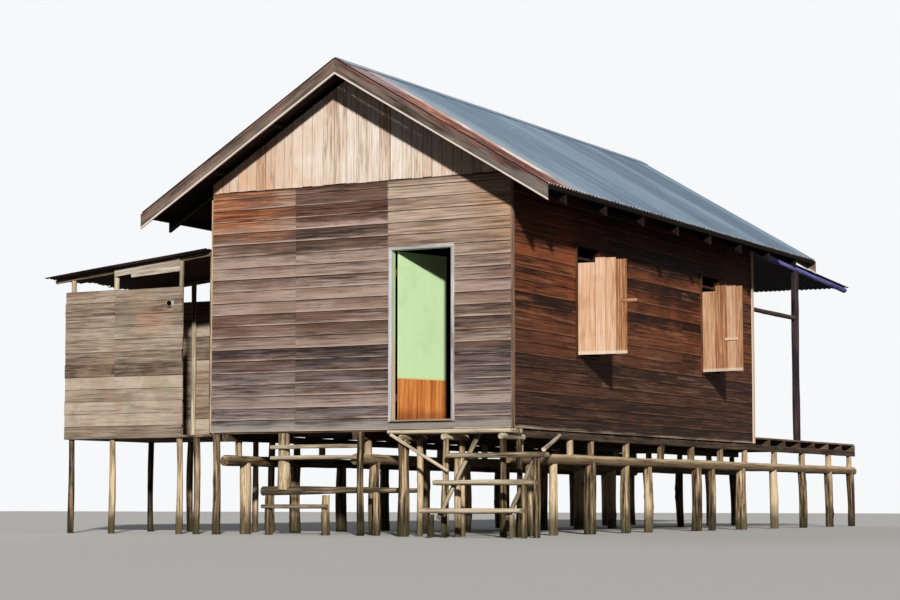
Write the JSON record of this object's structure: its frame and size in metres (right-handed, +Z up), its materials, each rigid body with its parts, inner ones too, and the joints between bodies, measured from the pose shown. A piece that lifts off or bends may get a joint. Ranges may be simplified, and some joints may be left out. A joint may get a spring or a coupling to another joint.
{
  "type": "stilt house",
  "caption": "Timber house on piles over water: lapped board walls, sheet metal gable roof, wash cabin, pole landing with steps, covered rear platform and a hinged door.",
  "frame": {"origin": "middle of the house plan at the water level, on the foot of the middle pile", "axes": "+X to the windowed side, +Y to the rear platform along the house, +Z up; the doorway faces -Y"},
  "size_m": [7.2111, 13.2079, 5.4591],
  "materials": {
    "pile_wood": "round timber, weathered yellow grey, dark wet feet",
    "log_wood": "round logs, weathered",
    "pole_wood": "thin peeled poles, sun bleached",
    "beam_wood": "sawn timber, dark, rough",
    "floor_boards": "worn boards",
    "front_boards": "lapped boards, weathered grey brown",
    "side_boards": "lapped boards, dark reddish brown",
    "gable_boards": "upright boards, pale, stained orange",
    "pale_trim": "pale weathered trim",
    "pipe_plastic": "white pipe, dulled",
    "door_paint": "pale green paint above, varnished wood below",
    "iron": "rusty iron",
    "new_wood": "new sawn planks",
    "window_wood": "brown sawn wood",
    "rusted_sheet": "corrugated sheet, rusted through its coating",
    "zinc_sheet": "corrugated zinc sheet, dull blue grey",
    "barge_wood": "grey brown boards with a pale lower edge",
    "cabin_boards": "thin grey beige boards",
    "old_sheet": "old ragged sheet",
    "dark_wood": "dark round poles",
    "blue_sheet": "dark blue violet sheet"
  },
  "bodies": {
    "house": {"piles": "pile_wood", "bearer_logs": "log_wood", "stub_posts": "log_wood", "sill_beams": "beam_wood", "floor_joists": "beam_wood", "floor_deck": "floor_boards", "front_posts": "pile_wood", "front_rails": "log_wood", "landing_poles": "pole_wood", "landing_bearers": "log_wood", "landing_posts": "pile_wood", "step_treads": "pole_wood", "step_posts": "pile_wood", "step_stringers": "log_wood", "front_wall_left": "front_boards", "front_wall_right": "front_boards", "front_wall_at_door": "front_boards", "front_gable": "gable_boards", "right_wall_low": "side_boards", "right_wall_piers": "side_boards", "right_wall_top": "side_boards", "left_wall_low": "side_boards", "left_wall_piers": "side_boards", "left_wall_top": "side_boards", "rear_wall": "front_boards", "rear_gable": "gable_boards", "corner_boards": "pale_trim", "wall_posts": "beam_wood", "wall_plates": "beam_wood", "door_frame": "pale_trim", "threshold": "floor_boards", "door_hinges": "iron", "window_frames": "window_wood", "shutters": "new_wood", "shutter_battens": "new_wood", "rafters": "beam_wood", "purlins": "beam_wood", "front_sheet": "rusted_sheet", "roof_sheets": "zinc_sheet", "ridge_cap": "zinc_sheet", "barge_boards": "barge_wood", "cabin_front": "cabin_boards", "cabin_sides": "cabin_boards", "cabin_floor": "floor_boards", "cabin_posts": "pile_wood", "cabin_poles": "pole_wood", "cabin_fascia": "pale_trim", "cabin_pipe": "pipe_plastic", "cabin_roof": "old_sheet", "rear_deck": "floor_boards", "canopy_posts": "dark_wood", "canopy_poles": "dark_wood", "canopy_sheets": "blue_sheet"},
    "door": {"door_leaf": "door_paint", "door_straps": "iron"}
  },
  "joints": [
    {"name": "door_hinge", "type": "hinge", "parent": "house", "child": "door", "pos_m": [0.478, -3.7, 1.518], "axis": [0, 0, 1], "range_deg": [-72, 18]}
  ]
}
